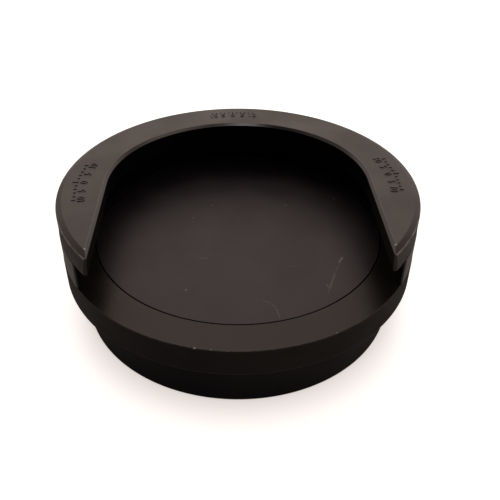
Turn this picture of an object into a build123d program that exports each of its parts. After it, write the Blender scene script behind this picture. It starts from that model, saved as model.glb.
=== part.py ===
from build123d import *
import os
from math import cos, radians, sin, sqrt

# Slide-on blind flange for a flanged plastic pipe end, with a 110 mm spigot under it.
# A mating flange slides in along +Y, between the floor and the horseshoe lip.
# Millimetres, +Z up. The origin is on the flange's axis, at the foot of the spigot.

# Driving dimensions: outside radii, heights from the foot up, and the two U-shaped cuts.
LIP_R = 60.1
WALL_R = 60.3
BASE_R = 60.45
SPIGOT_R = 55.0
DISC_R = 49.4
SPIGOT_DROP = 17.4
BASE_T = 9.6
SLOT_H = 9.8
LIP_T = 8.4
SLOT_HALF = 49.3
SLOT_BACK_R = 52.0
SLOT_CORNER_R = 20.0
SLOT_LEAD_IN_W = 0.8
SLOT_LEAD_IN_L = 4.0
MOUTH_HALF = 44.3
MOUTH_BACK_R = 46.2
MOUTH_BACK_Y = -2.0
MOUTH_CORNER_R = 41.0

# Walls, edges and fits.
SPIGOT_WALL = 3.2
SOCKET_STEP = 1.0
SOCKET_DEPTH = 5.6
DISC_WEB = 4.0
DISC_SKIRT_T = 5.2
DISC_GAP = 0.35
EDGE_R = 0.5
SEAM_R = 0.3
RIM_BEVEL_W = 2.05
RIM_BEVEL_H = 1.0
MOUTH_BEVEL = 1.0
TOUCH = 0.01

# The mouth is wider at the lip's underside, and the lip's two ends slope back below. How far forward
# the ends of the lip and of the wall reach.
MOUTH_DRAFT = 1.1
LIP_REACH = 40.2
LIP_END_SLOPE = 2.1
WALL_REACH = 32.5

# Tongues that locate the wall in the base and in the lip, round the back of the ring.
TONGUE_IN_R = 55.0
TONGUE_OUT_R = 57.4
TONGUE_H = 1.6
TONGUE_GAP = 0.05
TONGUE_HALF_ANGLE = 95

# O-ring and retaining ring in the spigot's bore.
SEAL_H = 2.2
SEAL_GROOVE_W = 2.7
SEAL_GROOVE_D = 1.55
CLIP_T = 1.5
CLIP_W = 2.6
CLIP_GROOVE_D = 0.9
CLIP_LUG_R = 2.8
CLIP_HOLE_R = 1.25
CLIP_OPENING = 16

# Raised scale marks on the lip, in groups of (middle angle, degrees between marks). The two end marks
# of a group are longer, and the middle one is the longest.
MARK_H = 0.25
MARK_W = 0.4
MARK_IN_R = 53.6
MARK_LENGTHS = (0.9, 1.4, 2.0)
MARKS_EACH_SIDE = 5
MARK_GROUPS = ((5, 2.2), (91, 1.7), (178.5, 2.4))

BASE_Z = SPIGOT_DROP
FLOOR_Z = BASE_Z + BASE_T
LIP_Z = FLOOR_Z + SLOT_H
TOP_Z = LIP_Z + LIP_T
BORE_R = SPIGOT_R - SPIGOT_WALL
SOCKET_R = SPIGOT_R - SOCKET_STEP
SHOULDER_Z = BASE_Z + SOCKET_DEPTH
SKIRT_Z = SHOULDER_Z - DISC_SKIRT_T


def drum(radius, low, high):
    """A solid cylinder on the flange's axis, between two heights."""
    stands_on = (Align.CENTER, Align.CENTER, Align.MIN)
    return Pos(0, 0, low) * Cylinder(radius, high - low, align=stands_on)


def ring(outer, inner, low, high):
    """A plain ring on the flange's axis."""
    return drum(outer, low, high) - drum(inner, low, high)


def rim_edges(solid, radius, height):
    """The round edges of one radius that lie at one height."""
    circles = solid.edges().filter_by(GeomType.CIRCLE)
    at_height = circles.filter_by_position(Axis.Z, height - TOUCH, height + TOUCH)
    return [edge for edge in at_height if abs(edge.radius - radius) < TOUCH]


def u_outline(half_width, back_r, back_y, corner_r):
    """Outline of a U-shaped cut: a round back, and straight sides that run out past the mouth."""
    corner_y = back_y + sqrt(back_r**2 - half_width**2)
    back = (Pos(0, back_y) * Circle(back_r)) & Rectangle(2 * half_width, 3 * back_r)
    sides = Pos(0, corner_y - BASE_R) * Rectangle(2 * half_width, 2 * BASE_R)
    outline = back + sides
    corners = outline.vertices().filter_by_position(Axis.Y, corner_y - TOUCH, corner_y + TOUCH)
    return fillet(corners, corner_r)


def front_of(low_reach, high_reach, low, high):
    """What lies in front of a horseshoe's two ends, from its lower to its upper reach."""
    far = -2 * BASE_R
    side_view = Polygon((-low_reach, low), (-high_reach, high), (far, high), (far, low), align=None)
    return extrude(Plane.YZ * side_view, 2 * BASE_R, both=True)


def tongue(low, high, gap):
    """A tongue round the back of the ring, or with a gap the groove that takes it."""
    arc = ring(TONGUE_OUT_R + gap, TONGUE_IN_R - gap, low, high)
    reach = 2 * BASE_R
    left = (reach * sin(radians(TONGUE_HALF_ANGLE)), reach * cos(radians(TONGUE_HALF_ANGLE)))
    right = (-left[0], left[1])
    sector = Polygon((0, 0), left, (reach, 2 * reach), (-reach, 2 * reach), right, align=None)
    return arc & Pos(0, 0, low) * extrude(sector, high - low)


def make_base_flange():
    """The flange ring: the floor's outer band, a shoulder over the disc, and the spigot's socket."""
    body = drum(BASE_R, BASE_Z, FLOOR_Z)
    body -= drum(DISC_R + DISC_GAP, BASE_Z, FLOOR_Z)
    body -= drum(SOCKET_R, BASE_Z, SHOULDER_Z)
    body = fillet(rim_edges(body, BASE_R, BASE_Z) + rim_edges(body, BASE_R, FLOOR_Z), EDGE_R)
    body = fillet(rim_edges(body, DISC_R + DISC_GAP, FLOOR_Z), SEAM_R)
    return body - tongue(FLOOR_Z - TONGUE_H - TONGUE_GAP, FLOOR_Z, TONGUE_GAP)


def make_spigot():
    """The pipe stub: a lead-in at the foot, a stepped top for the socket, a groove for the clip."""
    body = ring(SPIGOT_R, BORE_R, 0, BASE_Z) + ring(SOCKET_R, BORE_R, BASE_Z, SHOULDER_Z)
    body -= drum(BORE_R + CLIP_GROOVE_D, SKIRT_Z - CLIP_T - DISC_GAP, SKIRT_Z)
    return chamfer(rim_edges(body, SPIGOT_R, 0) + rim_edges(body, BORE_R, 0), EDGE_R)


def make_pocket_wall():
    """The U-shaped wall, with a lead-in at its two ends, a tongue on top and one below."""
    slot = u_outline(SLOT_HALF, SLOT_BACK_R, 0, SLOT_CORNER_R)
    half = SLOT_HALF
    wide = SLOT_HALF + SLOT_LEAD_IN_W
    lead_in = SLOT_LEAD_IN_L - WALL_REACH
    left = [(-half, lead_in), (-wide, -WALL_REACH), (-wide, -BASE_R)]
    right = [(wide, -BASE_R), (wide, -WALL_REACH), (half, lead_in)]
    slot += Polygon(*left, *right, align=None)
    body = drum(WALL_R, FLOOR_Z, LIP_Z) - Pos(0, 0, FLOOR_Z) * extrude(slot, SLOT_H)
    body -= front_of(WALL_REACH, WALL_REACH, FLOOR_Z, LIP_Z)
    return body + tongue(FLOOR_Z - TONGUE_H, FLOOR_Z, 0) + tongue(LIP_Z, LIP_Z + TONGUE_H, 0)


def mouth_outline(wider, height):
    """The mouth's outline at one height, wider all round by a given amount."""
    outline = u_outline(MOUTH_HALF + wider, MOUTH_BACK_R + wider, MOUTH_BACK_Y, MOUTH_CORNER_R + wider)
    return Pos(0, 0, height) * outline


def make_scale_marks():
    """The raised marks on the lip: left, back and right."""
    short, longer, longest = MARK_LENGTHS
    marks = []
    for middle, between in MARK_GROUPS:
        for step in range(-MARKS_EACH_SIDE, MARKS_EACH_SIDE + 1):
            length = longest if step == 0 else longer if abs(step) == MARKS_EACH_SIDE else short
            bar = Pos(MARK_IN_R + length / 2, 0, TOP_Z) * Box(length, MARK_W, 2 * MARK_H)
            marks.append(Rot(0, 0, middle + step * between) * bar)
    return marks


def make_lip_plate():
    """The horseshoe lip, bevelled along its outer and inner top edges, with raised scale marks."""
    rim_z = TOP_Z - RIM_BEVEL_H
    mouth_z = TOP_Z - MOUTH_BEVEL
    body = drum(LIP_R, LIP_Z, rim_z)
    body += Pos(0, 0, rim_z + RIM_BEVEL_H / 2) * Cone(LIP_R, LIP_R - RIM_BEVEL_W, RIM_BEVEL_H)
    body -= loft([mouth_outline(MOUTH_DRAFT, LIP_Z), mouth_outline(0, mouth_z)])
    body -= loft([mouth_outline(0, mouth_z), mouth_outline(MOUTH_BEVEL, TOP_Z)])
    body -= front_of(LIP_REACH - LIP_END_SLOPE, LIP_REACH, LIP_Z, TOP_Z)
    body -= tongue(LIP_Z, LIP_Z + TONGUE_H + TONGUE_GAP, TONGUE_GAP)
    for mark in make_scale_marks():
        body += mark
    return body


def make_blanking_disc():
    """The disc: a web flush with the floor, on a wider skirt that seats under the shoulder."""
    skirt_r = BORE_R - DISC_GAP
    body = drum(DISC_R, SHOULDER_Z, FLOOR_Z) + drum(skirt_r, SKIRT_Z, SHOULDER_Z)
    body -= drum(DISC_R - DISC_WEB, SKIRT_Z, SHOULDER_Z)
    middle = (SKIRT_Z + SHOULDER_Z) / 2
    groove_low = middle - SEAL_GROOVE_W / 2
    body -= ring(skirt_r, skirt_r - SEAL_GROOVE_D, groove_low, groove_low + SEAL_GROOVE_W)
    return fillet(rim_edges(body, DISC_R, FLOOR_Z), SEAM_R)


def make_disc_seal():
    """The O-ring, squeezed between its groove in the skirt and the spigot's bore."""
    inner = BORE_R - DISC_GAP - SEAL_GROOVE_D
    radial = BORE_R - inner
    middle = (SKIRT_Z + SHOULDER_Z) / 2
    section = Pos(inner + radial / 2, 0, middle) * (Plane.XZ * Ellipse(radial / 2, SEAL_H / 2))
    return revolve(section, Axis.Z)


def make_retaining_ring():
    """The internal retaining ring: an open flat ring with a holed lug at each end."""
    play = DISC_GAP / 2
    high = SKIRT_Z - play
    low = high - CLIP_T
    outer = BORE_R + CLIP_GROOVE_D - play
    inner = outer - CLIP_W
    body = ring(outer, inner, low, high)
    body -= Pos(0, inner, low + CLIP_T / 2) * Box(CLIP_OPENING, CLIP_LUG_R + CLIP_W * 2, CLIP_T)
    lug_x = CLIP_OPENING / 2 + CLIP_LUG_R
    lug_y = sqrt(inner**2 - lug_x**2) - CLIP_LUG_R / 2
    for side in (-1, 1):
        place = Pos(side * lug_x, lug_y, 0)
        body += place * drum(CLIP_LUG_R, low, high)
        body -= place * drum(CLIP_HOLE_R, low, high)
    return body


PIECES = {
    "base_flange": make_base_flange,
    "spigot": make_spigot,
    "pocket_wall": make_pocket_wall,
    "lip_plate": make_lip_plate,
    "blanking_disc": make_blanking_disc,
    "disc_seal": make_disc_seal,
    "retaining_ring": make_retaining_ring,
}

os.makedirs("parts", exist_ok=True)
for node, make in PIECES.items():
    export_step(make(), f"parts/{node}.step")
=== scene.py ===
from math import atan2, cos, pi, radians, sin, sqrt

import bmesh
import bpy
from mathutils import Matrix, Vector


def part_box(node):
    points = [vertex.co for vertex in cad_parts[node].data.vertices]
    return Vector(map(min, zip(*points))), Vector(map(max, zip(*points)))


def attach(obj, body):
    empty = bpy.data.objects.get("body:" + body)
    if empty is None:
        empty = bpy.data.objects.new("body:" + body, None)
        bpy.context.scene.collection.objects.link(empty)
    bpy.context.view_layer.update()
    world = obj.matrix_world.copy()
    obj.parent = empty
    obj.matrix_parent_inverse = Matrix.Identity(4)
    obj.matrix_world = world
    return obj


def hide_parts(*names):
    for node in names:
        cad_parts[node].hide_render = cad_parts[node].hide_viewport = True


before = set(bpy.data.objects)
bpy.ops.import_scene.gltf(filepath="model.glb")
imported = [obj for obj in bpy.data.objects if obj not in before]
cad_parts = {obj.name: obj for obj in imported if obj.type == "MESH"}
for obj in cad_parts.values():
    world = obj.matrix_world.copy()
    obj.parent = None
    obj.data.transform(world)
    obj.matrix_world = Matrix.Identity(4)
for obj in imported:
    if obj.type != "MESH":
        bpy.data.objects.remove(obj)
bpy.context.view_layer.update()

MM = 0.001


# ---------------------------------------------------------------- base flange
# The ring that everything stands on, moulded in black-brown plastic with a fine matt grain.
# Its top is the outer band of the floor, and its bore is closed by the blanking disc.

def turned(profile, steps=288):
    """A bmesh turned about the flange's axis, from a closed profile of (radius, height) points."""
    bm = bmesh.new()
    points = [bm.verts.new((radius, 0, height)) for radius, height in profile]
    lines = [bm.edges.new(pair) for pair in zip(points, points[1:] + points[:1])]
    bmesh.ops.spin(bm, geom=points + lines, axis=(0, 0, 1), angle=2 * pi, steps=steps, use_merge=True)
    bmesh.ops.remove_doubles(bm, verts=bm.verts, dist=0.001 * MM)
    bmesh.ops.recalc_face_normals(bm, faces=bm.faces)
    return bm


def mark_wear_and_highlight(bm, faces, wear_and_highlight):
    """Sets how far some faces are rubbed pale and glossy, from 0 to 1: wear, and along some edges a painted
    highlight.
    """
    wear = bm.loops.layers.float.get("edge_wear_and_highlight") or bm.loops.layers.float.new("edge_wear_and_highlight")
    for face in faces:
        for corner in face.loops:
            corner[wear] = wear_and_highlight


def soften(bm, width, near=lambda point: True, wear_and_highlight=0.045):
    """Rounds the sharp edges that pass the test, and sets how rubbed the new faces are, a pale gloss that
    along some edges is a painted highlight.
    Between two finishes, the faces of the middle strip take either one, and not the same one in every run."""
    sharp = [
        edge for edge in bm.edges
        if edge.is_manifold and edge.calc_face_angle() > radians(25)
        and all(near(vert.co) for vert in edge.verts)
    ]
    rounded = bmesh.ops.bevel(
        bm, geom=sharp, offset=width, segments=3, profile=0.5, material=-1, affect="EDGES"
    )
    mark_wear_and_highlight(bm, rounded["faces"], wear_and_highlight)


def refinish(bm, finish, chosen):
    """Gives the faces that pass the test another one of their piece's finishes, by its number."""
    for face in bm.faces:
        if chosen(face):
            face.material_index = finish


def piece(name, bm, finishes, cad_node):
    """Makes the bmesh a piece that stands for a CAD node, shaded smooth except at sharp edges."""
    mesh = bpy.data.meshes.new(name)
    bm.to_mesh(mesh)
    bm.free()
    mesh.shade_smooth()
    mesh.set_sharp_from_angle(angle=radians(35))
    for finish in finishes:
        mesh.materials.append(finish)
    made = bpy.data.objects.new(name, mesh)
    bpy.context.scene.collection.objects.link(made)
    made.modifiers.new("even shading", "WEIGHTED_NORMAL").keep_sharp = True
    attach(made, "root")
    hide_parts(cad_node)


def node(tree, kind, values, **settings):
    """A new shader node: plain values are set on its inputs, and sockets are linked to them."""
    made = tree.nodes.new("ShaderNode" + kind)
    for name, value in settings.items():
        setattr(made, name, value)
    for key, value in values.items():
        if isinstance(value, bpy.types.NodeSocket):
            tree.links.new(value, made.inputs[key])
        else:
            made.inputs[key].default_value = value
    return made


def calc(tree, operation, *values):
    """The result of a Math node."""
    return node(tree, "Math", dict(enumerate(values)), operation=operation).outputs[0]


def ramp(tree, value, start, end, low=0.0, high=1.0):
    """A value eased from low to high as it goes from start to end."""
    limits = {"Value": value, "From Min": start, "From Max": end, "To Min": low, "To Max": high}
    return node(tree, "MapRange", limits, interpolation_type="SMOOTHSTEP").outputs["Result"]


def blend_colour(tree, mask, first, second):
    """The first colour, or the second one where the mask is 1."""
    return node(tree, "Mix", {0: mask, 6: first, 7: second}, data_type="RGBA").outputs[2]


def blend_value(tree, mask, first, second):
    """The first value, or the second one where the mask is 1."""
    return node(tree, "Mix", {0: mask, 2: first, 3: second}, data_type="FLOAT").outputs[0]


def shared_effect(name, inputs, outputs):
    """A node group with these input values and outputs, and the sockets to wire inside it."""
    group = bpy.data.node_groups.new(name, "ShaderNodeTree")
    for label, value in inputs.items():
        kind = "NodeSocketVector" if isinstance(value, tuple) else "NodeSocketFloat"
        group.interface.new_socket(label, in_out="INPUT", socket_type=kind).default_value = value
    for label in outputs:
        group.interface.new_socket(label, in_out="OUTPUT", socket_type="NodeSocketFloat")
    given = group.nodes.new("NodeGroupInput").outputs
    results = group.nodes.new("NodeGroupOutput").inputs
    return group, given, results


def use(tree, group, values):
    """A shared effect placed in a material, with its own values. Returns the outputs."""
    placed = tree.nodes.new("ShaderNodeGroup")
    placed.node_tree = group
    for label, value in values.items():
        placed.inputs[label].default_value = value
    return placed.outputs


# Mould grain: a fine spark-eroded texture, and slow blotches of tone and gloss where the melt cooled.
grain, given, results = shared_effect(
    "mould grain", {"Grain per m": 3000.0, "Blotches per m": 60.0}, ("Height", "Tone")
)
place = node(grain, "TexCoord", {}).outputs["Object"]
fine = node(grain, "TexNoise", {"Vector": place, "Scale": given["Grain per m"], "Detail": 2.0})
broad = node(grain, "TexNoise", {"Vector": place, "Scale": given["Blotches per m"], "Detail": 4.0})
grain.links.new(fine.outputs["Fac"], results["Height"])
mottle = calc(grain, "MULTIPLY", broad.outputs["Fac"], 0.7)
mottle = calc(grain, "MULTIPLY_ADD", fine.outputs["Fac"], 0.3, mottle)
grain.links.new(ramp(grain, mottle, 0.35, 0.65), results["Tone"])

# Edge wear and highlight: rounded edges that handling has polished, here and there more than elsewhere.
# Where an edge is set fully rubbed, its pale gloss is a painted highlight.
edge_wear_and_highlight, given, results = shared_effect("edge wear and highlight", {"Patches per m": 300.0}, ("Mask",))
place = node(edge_wear_and_highlight, "TexCoord", {}).outputs["Object"]
patches = node(edge_wear_and_highlight, "TexNoise", {"Vector": place, "Scale": given["Patches per m"], "Detail": 3.0})
rounded = node(edge_wear_and_highlight, "Attribute", {}, attribute_name="edge_wear_and_highlight").outputs["Fac"]
rubbed = ramp(edge_wear_and_highlight, patches.outputs["Fac"], 0.3, 0.6, 0.35, 1.0)
edge_wear_and_highlight.links.new(calc(edge_wear_and_highlight, "MULTIPLY", rounded, rubbed), results["Mask"])

# Hairline: one straight scratch in the XY plane, about a middle point.
hairline, given, results = shared_effect(
    "hairline", {"Middle": (0.0, 0.0, 0.0), "Turn": 0.0, "Length": 0.01, "Width": 0.0002}, ("Mask",)
)
place = node(hairline, "TexCoord", {}).outputs["Object"]
offset = node(hairline, "VectorMath", {0: place, 1: given["Middle"]}, operation="SUBTRACT").outputs[0]
back = calc(hairline, "MULTIPLY", given["Turn"], -1.0)
turned_back = node(hairline, "VectorRotate", {"Vector": offset, "Angle": back}, rotation_type="Z_AXIS")
local = node(hairline, "SeparateXYZ", {0: turned_back.outputs[0]}).outputs
along = calc(hairline, "DIVIDE", local["X"], calc(hairline, "MULTIPLY", given["Length"], 0.5))
along = calc(hairline, "ABSOLUTE", along)
across = calc(hairline, "DIVIDE", calc(hairline, "ABSOLUTE", local["Y"]), given["Width"])
broken = node(hairline, "TexNoise", {"Vector": place, "Scale": 1500.0, "Detail": 2.0}).outputs["Fac"]
inside = ramp(hairline, across, 0.2, 1.0, 1.0, 0.0)
inside = calc(hairline, "MULTIPLY", inside, ramp(hairline, along, 0.6, 1.0, 1.0, 0.0))
inside = calc(hairline, "MULTIPLY", inside, ramp(hairline, broken, 0.3, 0.6, 0.4, 1.0))
above = calc(hairline, "ABSOLUTE", local["Z"])
inside = calc(hairline, "MULTIPLY", inside, ramp(hairline, above, 0.5 * MM, 1.0 * MM, 1.0, 0.0))
hairline.links.new(inside, results["Mask"])

# Speck: one spot of dust or a nick, uneven round its edge; at the lip's tips it is a painted glint.
speck_or_glint, given, results = shared_effect("speck_or_glint", {"Middle": (0.0, 0.0, 0.0), "Radius": 0.0004}, ("Mask",))
place = node(speck_or_glint, "TexCoord", {}).outputs["Object"]
away = node(speck_or_glint, "VectorMath", {0: place, 1: given["Middle"]}, operation="DISTANCE").outputs["Value"]
ragged = node(speck_or_glint, "TexNoise", {"Vector": place, "Scale": 2500.0, "Detail": 2.0}).outputs["Fac"]
away = calc(speck_or_glint, "DIVIDE", away, given["Radius"])
away = calc(speck_or_glint, "MULTIPLY", away, calc(speck_or_glint, "ADD", ragged, 0.5))
speck_or_glint.links.new(ramp(speck_or_glint, away, 0.4, 1.0, 1.0, 0.0), results["Mask"])

# Rubbing: fine crossing scratches from things slid over the surface.
rubbing, given, results = shared_effect("rubbing", {"Turn": 0.0, "Share": 0.35}, ("Mask",))
place = node(rubbing, "TexCoord", {}).outputs["Object"]
masks = []
for lean, length, width in ((0.0, 14 * MM, 0.25 * MM), (0.9, 9 * MM, 0.2 * MM), (2.1, 18 * MM, 0.3 * MM)):
    angle = calc(rubbing, "ADD", given["Turn"], lean)
    laid = node(rubbing, "VectorRotate", {"Vector": place, "Angle": angle}, rotation_type="Z_AXIS")
    fineness = (1 / length, 1 / width, 1 / length)
    stretched = node(rubbing, "Mapping", {"Vector": laid.outputs[0], "Scale": fineness})
    streaks = node(rubbing, "TexNoise", {"Vector": stretched.outputs[0], "Scale": 1.0, "Detail": 1.0})
    masks.append(ramp(rubbing, streaks.outputs["Fac"], 0.66, 0.76))
crossing = calc(rubbing, "MAXIMUM", calc(rubbing, "MAXIMUM", masks[0], masks[1]), masks[2])
rubbing.links.new(calc(rubbing, "MULTIPLY", crossing, given["Share"]), results["Mask"])


def moulded_plastic(
    name, colour, roughness, gloss_level=0.5, tint=(1.0, 0.9, 0.86), depth=0.02 * MM, marks_or_glints=()
):
    """Moulded plastic: blotches, mould grain, edges that are paler and glossier from handling or as painted
    highlights, and pale spots, scratches or painted glints.
    Each mark is (effect, values, strength)."""
    material = bpy.data.materials.new(name)
    material.use_nodes = True
    tree = material.node_tree
    texture = use(tree, grain, {})
    wear_and_highlight = use(tree, edge_wear_and_highlight, {})["Mask"]
    marked_or_glint = 0.0
    for effect, values, strength in marks_or_glints:
        mask = calc(tree, "MULTIPLY", use(tree, effect, values)["Mask"], strength)
        marked_or_glint = calc(tree, "MAXIMUM", marked_or_glint, mask)
    dark = (*(0.8 * part for part in colour), 1)
    light = (*(1.2 * part for part in colour), 1)
    polished_edge_and_highlight = (0.22, 0.20, 0.18, 1)
    scraped_or_glint = (0.30, 0.27, 0.25, 1)
    tone = blend_colour(tree, texture["Tone"], dark, light)
    tone = blend_colour(tree, wear_and_highlight, tone, polished_edge_and_highlight)
    tone = blend_colour(tree, marked_or_glint, tone, scraped_or_glint)
    gloss = blend_value(tree, texture["Tone"], roughness + 0.05, roughness - 0.05)
    gloss = blend_value(tree, wear_and_highlight, gloss, 0.3)
    gloss = blend_value(tree, marked_or_glint, gloss, 0.6)
    relief = node(tree, "Bump", {"Strength": 1.0, "Distance": depth, "Height": texture["Height"]})
    shader = tree.nodes["Principled BSDF"]
    tree.links.new(tone, shader.inputs["Base Color"])
    tree.links.new(gloss, shader.inputs["Roughness"])
    tree.links.new(relief.outputs["Normal"], shader.inputs["Normal"])
    shader.inputs["Specular IOR Level"].default_value = gloss_level
    shader.inputs["Specular Tint"].default_value = (*tint, 1)
    return material


def on_rim(radius, angle, height):
    """A point on the flange at a radius in mm and an angle in degrees, at a height in metres."""
    return (radius * MM * cos(radians(angle)), radius * MM * sin(radians(angle)), height)


base_low, base_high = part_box("base_flange")
base_r = base_high.x
bore_r = 49.75 * MM
socket_r = 54.0 * MM
shoulder_z = base_low.z + 5.6 * MM
base_edge = 0.5 * MM
bore_edge = 0.08 * MM
tolerance = 0.01 * MM

black = (0.004, 0.0032, 0.003)
nicks = [
    (speck_or_glint, {"Middle": on_rim(60.2, angle, base_high.z), "Radius": 0.5 * MM}, strength)
    for angle, strength in ((-103, 0.9), (-98.5, 0.45), (-63, 0.5))
]
base_plastic = moulded_plastic("base_plastic", black, 0.3, gloss_level=0.43, marks_or_glints=nicks)
base_side_plastic = moulded_plastic("base_side_plastic", black, 0.65, gloss_level=0.58)
bm = turned([
    (bore_r, shoulder_z), (bore_r, base_high.z), (base_r, base_high.z),
    (base_r, base_low.z), (socket_r, base_low.z), (socket_r, shoulder_z),
])
refinish(bm, 1, lambda face: abs(face.normal.z) < 0.5 and face.calc_center_median().xy.length > base_r - MM)
soften(bm, base_edge, lambda point: point.xy.length > base_r - MM and point.z > shoulder_z, wear_and_highlight=0.06)
# The lower outer edge is paler: partly wear, partly a painted highlight line.
soften(bm, base_edge, lambda point: point.xy.length > base_r - MM and point.z < shoulder_z, wear_and_highlight=0.25)
soften(
    bm, bore_edge,
    lambda point: point.z > base_high.z - tolerance and point.xy.length < bore_r + MM,
    wear_and_highlight=0.0,
)
piece("base_ring", bm, (base_plastic, base_side_plastic), "base_flange")


# ---------------------------------------------------------------- spigot
# The 110 mm pipe stub under the flange, of black plastic with a violet tint, that stands in a socket
# of the base. It has a lead-in round its foot, and a groove inside for the clip.

spigot_low, spigot_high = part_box("spigot")
clip_low, clip_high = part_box("retaining_ring")
spigot_r = spigot_high.x
pipe_wall = 3.2 * MM
spigot_bore_r = spigot_r - pipe_wall
groove_depth = 0.9 * MM
groove_r = spigot_bore_r + groove_depth
play = 0.17 * MM
lead_in = 0.5 * MM

spigot_plastic = moulded_plastic("spigot_plastic", (0.0046, 0.0028, 0.0036), 0.5, tint=(1.0, 0.85, 0.92))
bm = turned([
    (spigot_bore_r, spigot_low.z), (spigot_bore_r, clip_low.z - play), (groove_r, clip_low.z - play),
    (groove_r, clip_high.z + play), (spigot_bore_r, clip_high.z + play), (spigot_bore_r, spigot_high.z),
    (socket_r, spigot_high.z), (socket_r, base_low.z),
    (spigot_r, base_low.z), (spigot_r, spigot_low.z),
])
soften(bm, lead_in, lambda point: point.z < spigot_low.z + tolerance)
piece("spigot_pipe", bm, (spigot_plastic,), "spigot")


# ---------------------------------------------------------------- pocket wall
# The U-shaped wall that spaces the lip off the floor, smoother than the pieces above and below.
# Its two ends are eased apart as a lead-in for the mating flange.

def u_loop(bm, shape, wider, height):
    """The closed outline of a U-shaped cut at one height: a round back, two corners, straight sides."""
    half, back_r, back_y, corner_r, front = shape
    corner_x = half - corner_r
    corner_y = back_y + sqrt((back_r - corner_r) ** 2 - corner_x**2)
    sweep = atan2(corner_y - back_y, corner_x)
    right = bm.verts.new((half + wider, corner_y, height))
    left = right
    for centre, angle in (
        ((corner_x, corner_y, height), sweep),
        ((0, back_y, height), pi - 2 * sweep),
        ((-corner_x, corner_y, height), sweep),
    ):
        swept = bmesh.ops.spin(bm, geom=[left], cent=centre, axis=(0, 0, 1), angle=angle, steps=48)
        left = swept["geom_last"][0]
    ahead = [bm.verts.new((-x - wider, y, height)) for x, y in front]
    ahead += [bm.verts.new((x + wider, y, height)) for x, y in reversed(front)]
    chain = [left, *ahead, right]
    for pair in zip(chain, chain[1:]):
        bm.edges.new(pair)
    return [edge for edge in bm.edges if all(abs(v.co.z - height) < 0.001 * MM for v in edge.verts)]


def u_cutter(shape, levels):
    """A solid of the U outline through several (wider by, height) levels."""
    bm = bmesh.new()
    loops = [u_loop(bm, shape, wider, height) for wider, height in levels]
    for lower, upper in zip(loops, loops[1:]):
        bmesh.ops.bridge_loops(bm, edges=lower + upper)
    for ends in (loops[0], loops[-1]):
        bmesh.ops.edgeloop_fill(bm, edges=ends)
    bmesh.ops.recalc_face_normals(bm, faces=bm.faces)
    return bm


def cut_out(blank, cutter):
    """The first bmesh with the second one cut out of it."""
    solids = []
    for bm in (blank, cutter):
        mesh = bpy.data.meshes.new("solid")
        bm.to_mesh(mesh)
        bm.free()
        solids.append(bpy.data.objects.new("solid", mesh))
        bpy.context.scene.collection.objects.link(solids[-1])
    cut = solids[0].modifiers.new("cut", "BOOLEAN")
    cut.operation = "DIFFERENCE"
    cut.solver = "EXACT"
    cut.object = solids[1]
    result = bmesh.new()
    result.from_object(solids[0], bpy.context.evaluated_depsgraph_get())
    for solid in solids:
        bpy.data.objects.remove(solid)
    return result


def looks_inwards(face):
    """Whether a face of a horseshoe looks into its cut."""
    return face.normal.xy.dot(face.calc_center_median().xy) < 0


def trim_ends(bm, end, slope=0.0):
    """Cuts the two ends of a horseshoe off at a point, square or sloping back below."""
    everything = list(bm.verts) + list(bm.edges) + list(bm.faces)
    cut = bmesh.ops.bisect_plane(
        bm, geom=everything, plane_co=end, plane_no=(0, -1, -slope), clear_outer=True
    )
    rim = [item for item in cut["geom_cut"] if isinstance(item, bmesh.types.BMEdge)]
    bmesh.ops.edgeloop_fill(bm, edges=rim)


wall_low, wall_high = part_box("pocket_wall")
lip_low, lip_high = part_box("lip_plate")
wall_r = wall_high.x
floor_z = base_high.z
underside_z = lip_low.z
over = 5 * MM
ahead_y = -80 * MM
slot_half = 49.3 * MM
slot_back_r = 52 * MM
slot_corner_r = 20 * MM
wall_edge = 0.2 * MM
lead_in_start = (slot_half, wall_low.y + 4 * MM)
lead_in_middle = (slot_half + 0.3 * MM, wall_low.y + 2 * MM)
lead_in_end = (slot_half + 1.05 * MM, wall_low.y - MM)
slot_front = [lead_in_start, lead_in_middle, lead_in_end, (lead_in_end[0], ahead_y)]
slot_shape = (slot_half, slot_back_r, 0, slot_corner_r, slot_front)

wall_plastic = moulded_plastic(
    "wall_plastic", (0.004, 0.0036, 0.0033), 0.33, gloss_level=0.87, depth=0.006 * MM
)
# The faces inside the pocket get painted shade: a darker black with little gloss.
shaded_black = (0.003, 0.0025, 0.0025)
wall_inner_painted_shade = moulded_plastic("wall_inner_painted_shade", shaded_black, 0.5, gloss_level=0.1)
# In 270 steps each end of the wall falls in the middle of a step, so its rounded corners have room.
blank = turned([(0, floor_z), (wall_r, floor_z), (wall_r, underside_z), (0, underside_z)], steps=270)
bm = cut_out(blank, u_cutter(slot_shape, [(0, floor_z - over), (0, underside_z + over)]))
trim_ends(bm, (0, wall_low.y, 0))
refinish(bm, 1, lambda face: abs(face.normal.z) < 0.5 and looks_inwards(face))
soften(bm, wall_edge)
piece("slot_wall", bm, (wall_plastic, wall_inner_painted_shade), "pocket_wall")


# ---------------------------------------------------------------- lip plate
# The thick horseshoe lip, bevelled along its outer and inner top edges, and wider below than above
# inside, so that it leaves the mould. A raised scale stands on its left, back and right.

def eased(outline, reaches, steps=4):
    """The outline of (across, height) points with some corners rounded: their numbers, and how far each
    curve reaches along the lines beside it."""
    points = [Vector(point) for point in outline]
    for index, reach in sorted(reaches.items(), reverse=True):
        corner = points[index]
        before = (points[index - 1] - corner).normalized()
        after = (points[index + 1] - corner).normalized()
        centre = corner + (before + after).normalized() * reach / cos(before.angle(after) / 2)
        start = corner + before * reach - centre
        end = corner + after * reach - centre
        spokes = [start.slerp(end, step / steps).normalized() for step in range(steps + 1)]
        points[index : index + 1] = [centre + spoke * start.length for spoke in spokes]
    return [tuple(point) for point in points]


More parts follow.
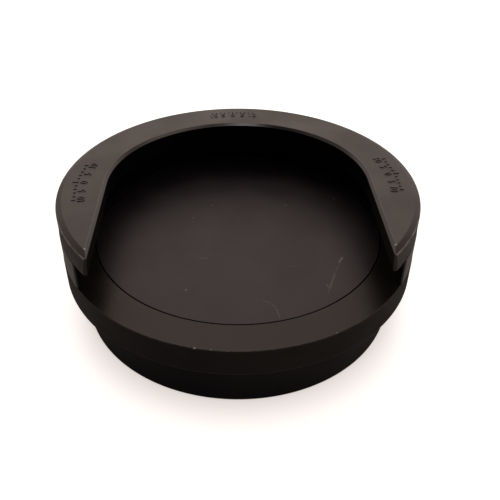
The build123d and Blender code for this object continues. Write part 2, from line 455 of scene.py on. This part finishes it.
mark_height = 0.25 * MM
lip_top = lip_high.z - mark_height
lip_r = lip_high.x
rim_bevel_w = 2.05 * MM
rim_bevel_h = 1.0 * MM
mouth_bevel = 1.0 * MM
mouth_draft = 1.1 * MM
mouth_half = 44.3 * MM
mouth_back_r = 46.2 * MM
mouth_back_y = -2 * MM
mouth_corner_r = 41 * MM
mouth_shape = (mouth_half, mouth_back_r, mouth_back_y, mouth_corner_r, [(mouth_half, ahead_y)])
foot_ease = 0.4 * MM
rim_ease = 0.35 * MM
top_ease = 0.2 * MM
mouth_ease = 0.15 * MM
# The cutter passes just beyond the lip's two flat faces, as one that ends in them leaves slivers.
past = 0.002 * MM
mouth_outline = [
    (mouth_draft + over, underside_z - past), (mouth_draft, underside_z - past),
    (0, lip_top - mouth_bevel), (mouth_bevel, lip_top + past), (mouth_bevel + over, lip_top + past),
]
mouth_levels = [
    (mouth_draft + mouth_ease, underside_z - over),
    *eased(mouth_outline, {1: mouth_ease, 2: mouth_ease, 3: top_ease})[1:-1],
    (mouth_bevel + top_ease, lip_top + over),
]
end_slope = 2.1 / 8.4

# The painted glints at the tips lie a little behind the two corners of the top face.
tip_x = mouth_half + mouth_bevel
tip_back = 0.4 * MM
tip_y = tip_back - sqrt((lip_r - rim_bevel_w) ** 2 - tip_x**2)
painted_tip_glints = [
    (speck_or_glint, {"Middle": (side * tip_x, tip_y, lip_top), "Radius": 0.6 * MM}, 0.9)
    for side in (-1, 1)
]
lip_plastic = moulded_plastic("lip_plastic", black, 0.55, gloss_level=1.0, marks_or_glints=painted_tip_glints)
mouth_edge_plastic = moulded_plastic("mouth_edge_plastic", black, 0.25, gloss_level=1.0, marks_or_glints=painted_tip_glints)
lip_inner_painted_shade = moulded_plastic("lip_inner_painted_shade", shaded_black, 0.5, gloss_level=0.1)
rim_bevel_plastic = moulded_plastic("rim_bevel_plastic", black, 0.3, gloss_level=0.6, marks_or_glints=painted_tip_glints)
lip_outline = [
    (0, underside_z), (lip_r, underside_z), (lip_r, lip_top - rim_bevel_h),
    (lip_r - rim_bevel_w, lip_top), (0, lip_top),
]
blank = turned(eased(lip_outline, {1: foot_ease, 2: rim_ease, 3: top_ease}))
bm = cut_out(blank, u_cutter(mouth_shape, mouth_levels))
trim_ends(bm, (0, lip_low.y, lip_top), end_slope)
bmesh.ops.remove_doubles(bm, verts=bm.verts, dist=tolerance)
bmesh.ops.dissolve_limit(bm, angle_limit=radians(0.05), verts=bm.verts, edges=bm.edges)
refinish(bm, 1, lambda face: 0.5 < face.normal.z < 0.9 and looks_inwards(face))
# Inside the mouth the upright faces get the same painted shade finish as inside the wall.
refinish(bm, 2, lambda face: abs(face.normal.z) < 0.5 and looks_inwards(face))
refinish(bm, 3, lambda face: 0.5 < face.normal.z < 0.91 and not looks_inwards(face))

# Wear by how much each rounded strip faces up: slight at both edges of the top, full along the rim's lower
# edge, where the pale line is a painted highlight.
slopes = [face for face in bm.faces if 0.02 < face.normal.z < 0.9999]
mark_wear_and_highlight(bm, [face for face in slopes if face.normal.z > 0.72 and looks_inwards(face)], 0.15)
mark_wear_and_highlight(bm, [face for face in slopes if face.normal.z > 0.91 and not looks_inwards(face)], 0.06)
mark_wear_and_highlight(bm, [face for face in slopes if face.normal.z < 0.88 and not looks_inwards(face)], 1.0)

# The scale: three groups of ticks, the end and middle ones longer, with plain numbers inside. Each
# group has a middle angle and a spacing, in degrees.
tick_width = 0.4 * MM
tick_in_r = 53.6 * MM
number_r = 50.6 * MM
number_height = 2.5 * MM
height_per_size = 0.7
round_over = 0.12 * MM
for middle, between in ((5, 2.2), (91, 1.7), (178.5, 2.4)):
    for step in range(-5, 6):
        angle = radians(middle + step * between)
        length = (2.0 if step == 0 else 1.4 if abs(step) == 5 else 0.9) * MM
        tick = bmesh.ops.create_cube(bm, size=1)["verts"]
        bmesh.ops.scale(bm, verts=tick, vec=(length, tick_width, 2 * mark_height))
        bmesh.ops.translate(bm, verts=tick, vec=(tick_in_r + length / 2, 0, lip_top))
        bmesh.ops.rotate(bm, verts=tick, cent=(0, 0, 0), matrix=Matrix.Rotation(angle, 3, "Z"))
        upper = [
            edge for vert in tick for edge in vert.link_edges
            if all(end.co.z > lip_top for end in edge.verts)
        ]
        bmesh.ops.bevel(
            bm, geom=list(set(upper)), offset=round_over, segments=2, profile=0.5, material=-1,
            affect="EDGES",
        )
    for step, words in ((-5, "10"), (-2.5, "5"), (0, "0"), (2.5, "5"), (5, "10")):
        letters = bpy.data.curves.new("number", "FONT")
        letters.body = words
        letters.size = number_height / height_per_size
        letters.align_x = "CENTER"
        letters.extrude = mark_height - round_over
        letters.bevel_depth = round_over
        letters.bevel_resolution = 1
        letters.offset = -round_over / 2
        letters.resolution_u = 3
        holder = bpy.data.objects.new("number", letters)
        bpy.context.scene.collection.objects.link(holder)
        number = bpy.data.meshes.new_from_object(holder)
        bpy.data.objects.remove(holder)
        angle = radians(middle + step * between)
        turn = Matrix.Rotation(angle - pi / 2, 4, "Z")
        number.transform(turn @ Matrix.Translation((0, number_r, lip_top)))
        bm.from_mesh(number)
lip_finishes = (lip_plastic, mouth_edge_plastic, lip_inner_painted_shade, rim_bevel_plastic)
piece("lip", bm, lip_finishes, "lip_plate")


# ---------------------------------------------------------------- blanking disc
# The disc that closes the bore, flush with the floor, of a smoother plastic with a violet tint.
# Flanges slid in and out have left scratches and a scuff on it.

disc_low, disc_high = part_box("blanking_disc")
skirt_r = disc_high.x
disc_r = 49.4 * MM
disc_web = 4 * MM
recess_r = disc_r - disc_web
disc_edge = 0.2 * MM
seal_low, seal_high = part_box("disc_seal")
seal_groove_depth = 1.55 * MM
seal_groove_r = skirt_r - seal_groove_depth
seal_play = 0.25 * MM


def on_disc(x, y):
    """A point on the disc's top, from millimetres across and back."""
    return (x * MM, y * MM, disc_high.z)


disc_marks = [
    (
        hairline,
        {"Middle": on_disc(x, y), "Turn": radians(turn), "Length": length * MM, "Width": width * MM},
        strength,
    )
    for x, y, turn, length, width, strength in (
        (-11.9, -17.9, 4, 3.2, 0.22, 0.3), (17.5, -22.6, 0, 6, 0.2, 0.12),
        (33.4, -19.8, 60, 4.2, 0.55, 0.5), (31.4, -24.6, 67, 5, 0.2, 0.2),
        (29.1, -30.6, 70, 9.5, 0.5, 0.3), (27.4, -33, -79, 3, 0.3, 0.3),
        (27.3, -35.4, 75, 3, 0.25, 0.15), (7.8, -39.8, -27, 3.2, 0.25, 0.25),
        (9.7, -41.5, -56, 3, 0.2, 0.25), (10.9, -44.8, -79, 5, 0.2, 0.3),
    )
]
disc_marks += [
    (speck_or_glint, {"Middle": on_disc(x, y), "Radius": 0.5 * MM}, 0.35)
    for x, y in ((-16, 6), (36.5, 17.5), (-17, -33.7), (18, 13.5), (-9.5, 14))
]
disc_marks += [(rubbing, {"Turn": 0.4, "Share": 0.03}, 1.0)]
disc_plastic = moulded_plastic(
    "disc_plastic", (0.0042, 0.003, 0.005), 0.4, tint=(1.0, 0.88, 0.94), marks_or_glints=disc_marks
)
bm = turned([
    (0, disc_high.z), (disc_r, disc_high.z), (disc_r, shoulder_z), (skirt_r, shoulder_z),
    (skirt_r, seal_high.z + seal_play), (seal_groove_r, seal_high.z + seal_play),
    (seal_groove_r, seal_low.z - seal_play), (skirt_r, seal_low.z - seal_play),
    (skirt_r, disc_low.z), (recess_r, disc_low.z), (recess_r, shoulder_z), (0, shoulder_z),
])
soften(bm, disc_edge, wear_and_highlight=0.0)
piece("disc", bm, (disc_plastic,), "blanking_disc")


# ---------------------------------------------------------------- seal and retaining ring
# The O-ring round the disc is black nitrile rubber, with a chalky bloom here and there. The ring
# that holds the disc up is stamped from spring steel, browned by heat and rubbed bright in lines.

def spring_steel(name):
    """Stamped steel: brown heat tints, bright rubbed lines and a faint pitting."""
    material = bpy.data.materials.new(name)
    material.use_nodes = True
    tree = material.node_tree
    texture = use(tree, grain, {"Grain per m": 6000.0, "Blotches per m": 150.0})
    rubbed = use(tree, rubbing, {"Turn": 0.7, "Share": 0.7})["Mask"]
    browned = (0.16, 0.14, 0.12, 1)
    bare = (0.34, 0.33, 0.32, 1)
    bright = (0.56, 0.55, 0.53, 1)
    tone = blend_colour(tree, texture["Tone"], browned, bare)
    tone = blend_colour(tree, rubbed, tone, bright)
    gloss = blend_value(tree, texture["Tone"], 0.45, 0.32)
    gloss = blend_value(tree, rubbed, gloss, 0.22)
    relief = node(tree, "Bump", {"Strength": 1.0, "Distance": 0.004 * MM, "Height": texture["Height"]})
    shader = tree.nodes["Principled BSDF"]
    tree.links.new(tone, shader.inputs["Base Color"])
    tree.links.new(gloss, shader.inputs["Roughness"])
    tree.links.new(relief.outputs["Normal"], shader.inputs["Normal"])
    shader.inputs["Metallic"].default_value = 1.0
    return material


bloom = [(rubbing, {"Turn": 1.0, "Share": 0.12}, 1.0)]
seal_rubber = moulded_plastic("seal_rubber", (0.010, 0.010, 0.010), 0.62, depth=0.01 * MM, marks_or_glints=bloom)
ring_steel = spring_steel("ring_steel")
for cad_node, finish in (("disc_seal", seal_rubber), ("retaining_ring", ring_steel)):
    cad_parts[cad_node].data.materials.clear()
    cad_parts[cad_node].data.materials.append(finish)


# ---------------------------------------------------------------- table, light and camera
# A plain white table under soft light from behind and above. Where the camera sees the table it is white,
# with a painted shadow round the object's foot, and in the plastic's gloss it is grey, painted darker in
# front.

bpy.ops.mesh.primitive_plane_add(size=8)
table = bpy.context.object
table.name = "table"
paint = bpy.data.materials.new("table_white")
paint.use_nodes = True
tree = paint.node_tree
surface = tree.nodes["Principled BSDF"]
surface.inputs["Roughness"].default_value = 0.35
seen = node(tree, "LightPath", {}).outputs["Is Camera Ray"]
spot = node(tree, "SeparateXYZ", {0: node(tree, "TexCoord", {}).outputs["Object"]}).outputs
# In the plastic's gloss the table is painted darker in front and lighter behind and to the right: painted
# shade and light.
behind = calc(tree, "MULTIPLY_ADD", spot["X"], 0.2, spot["Y"])
lit = ramp(tree, behind, -0.25, 0.1, 0.22, 0.44)
painted_shade_grey = node(tree, "CombineColor", {0: lit, 1: lit, 2: lit}).outputs[0]
cool_paint = (0.36, 0.50, 0.58, 1)
tree.links.new(blend_colour(tree, seen, painted_shade_grey, cool_paint), surface.inputs["Base Color"])
# Where the camera sees the table, its glow is darkened near the object: a painted contact shadow.
open_sky = node(tree, "AmbientOcclusion", {"Distance": 16 * MM}, samples=8).outputs["AO"]
contact_shade = (0.33, 0.28, 0.26, 1)
open_white = (1.02, 0.935, 0.88, 1)
white_with_painted_shadow = blend_colour(tree, open_sky, contact_shade, open_white)
tree.links.new(white_with_painted_shadow, surface.inputs["Emission Color"])
tree.links.new(seen, surface.inputs["Emission Strength"])
table.data.materials.append(paint)

world = bpy.data.worlds.new("studio")
bpy.context.scene.world = world
world.use_nodes = True
tree = world.node_tree
towards = node(tree, "TexCoord", {}).outputs["Generated"]

# Soft glows in the world: azimuth and height in degrees, strength, and how narrow each is.
# A negative strength makes a darker patch.
light = 0.0
for azimuth, height, strength, narrow in (
    (30, 10, 0.55, 14), (60, 10, 0.3, 14), (90, 10, 1.4, 14), (120, 10, 0.2, 14), (150, 10, 0.4, 14),
    (60, 36, 0.2, 14), (90, 36, 0.15, 14), (150, 36, 0.1, 14), (180, 36, 0.25, 14),
    (0, 62, 0.85, 14), (60, 62, 0.65, 14), (120, 62, 1.4, 14), (0, 88, 0.15, 14), (-30, 20, 0.3, 6),
    (130, 28, 0.5, 60), (50, 28, 0.35, 60), (152, 50, -0.6, 60), (28, 50, -0.25, 60),
):
    raised = Vector((cos(radians(height)), 0, sin(radians(height))))
    aim = Matrix.Rotation(radians(azimuth), 3, "Z") @ raised
    facing = node(tree, "VectorMath", {0: towards, 1: aim}, operation="DOT_PRODUCT").outputs["Value"]
    spread = calc(tree, "POWER", calc(tree, "MAXIMUM", facing, 0.0), float(narrow))
    light = calc(tree, "MULTIPLY_ADD", spread, strength, light)
shades = {0: light, 6: (0, 0, 0, 1), 7: (1.12, 0.97, 0.88, 1)}
warm = node(tree, "Mix", shades, data_type="RGBA", clamp_factor=False).outputs[2]
seen = node(tree, "LightPath", {}).outputs["Is Camera Ray"]
tree.links.new(blend_colour(tree, seen, warm, (1, 1, 1, 1)), tree.nodes["Background"].inputs["Color"])

lamp = bpy.data.objects.new("ceiling_lamp", bpy.data.lights.new("ceiling_lamp", "AREA"))
bpy.context.scene.collection.objects.link(lamp)
lamp.data.shape = "DISK"
lamp.data.size = 0.12
lamp.data.energy = 0.75
lamp.data.color = (0.9, 0.95, 1.0)
lamp.location = (-0.08, -0.5, 1.05)
lamp.rotation_euler = (lamp.location.to_track_quat("Z", "Y")).to_euler()

camera_pitch = radians(37.22)
camera_turn = radians(-1.3)
camera_back = 184.2 * MM
camera_up = 156.6 * MM
camera = bpy.data.objects.new("camera", bpy.data.cameras.new("camera"))
bpy.context.scene.collection.objects.link(camera)
camera.data.sensor_width = 36
camera.data.lens = 45.864
camera.data.shift_x = 0.024
camera.location = Matrix.Rotation(camera_turn, 3, "Z") @ Vector((0, -camera_back, camera_up))
camera.rotation_euler = (pi / 2 - camera_pitch, 0, camera_turn)
camera.data.clip_start = 0.01
bpy.context.scene.camera = camera
bpy.context.scene.view_settings.view_transform = "Standard"
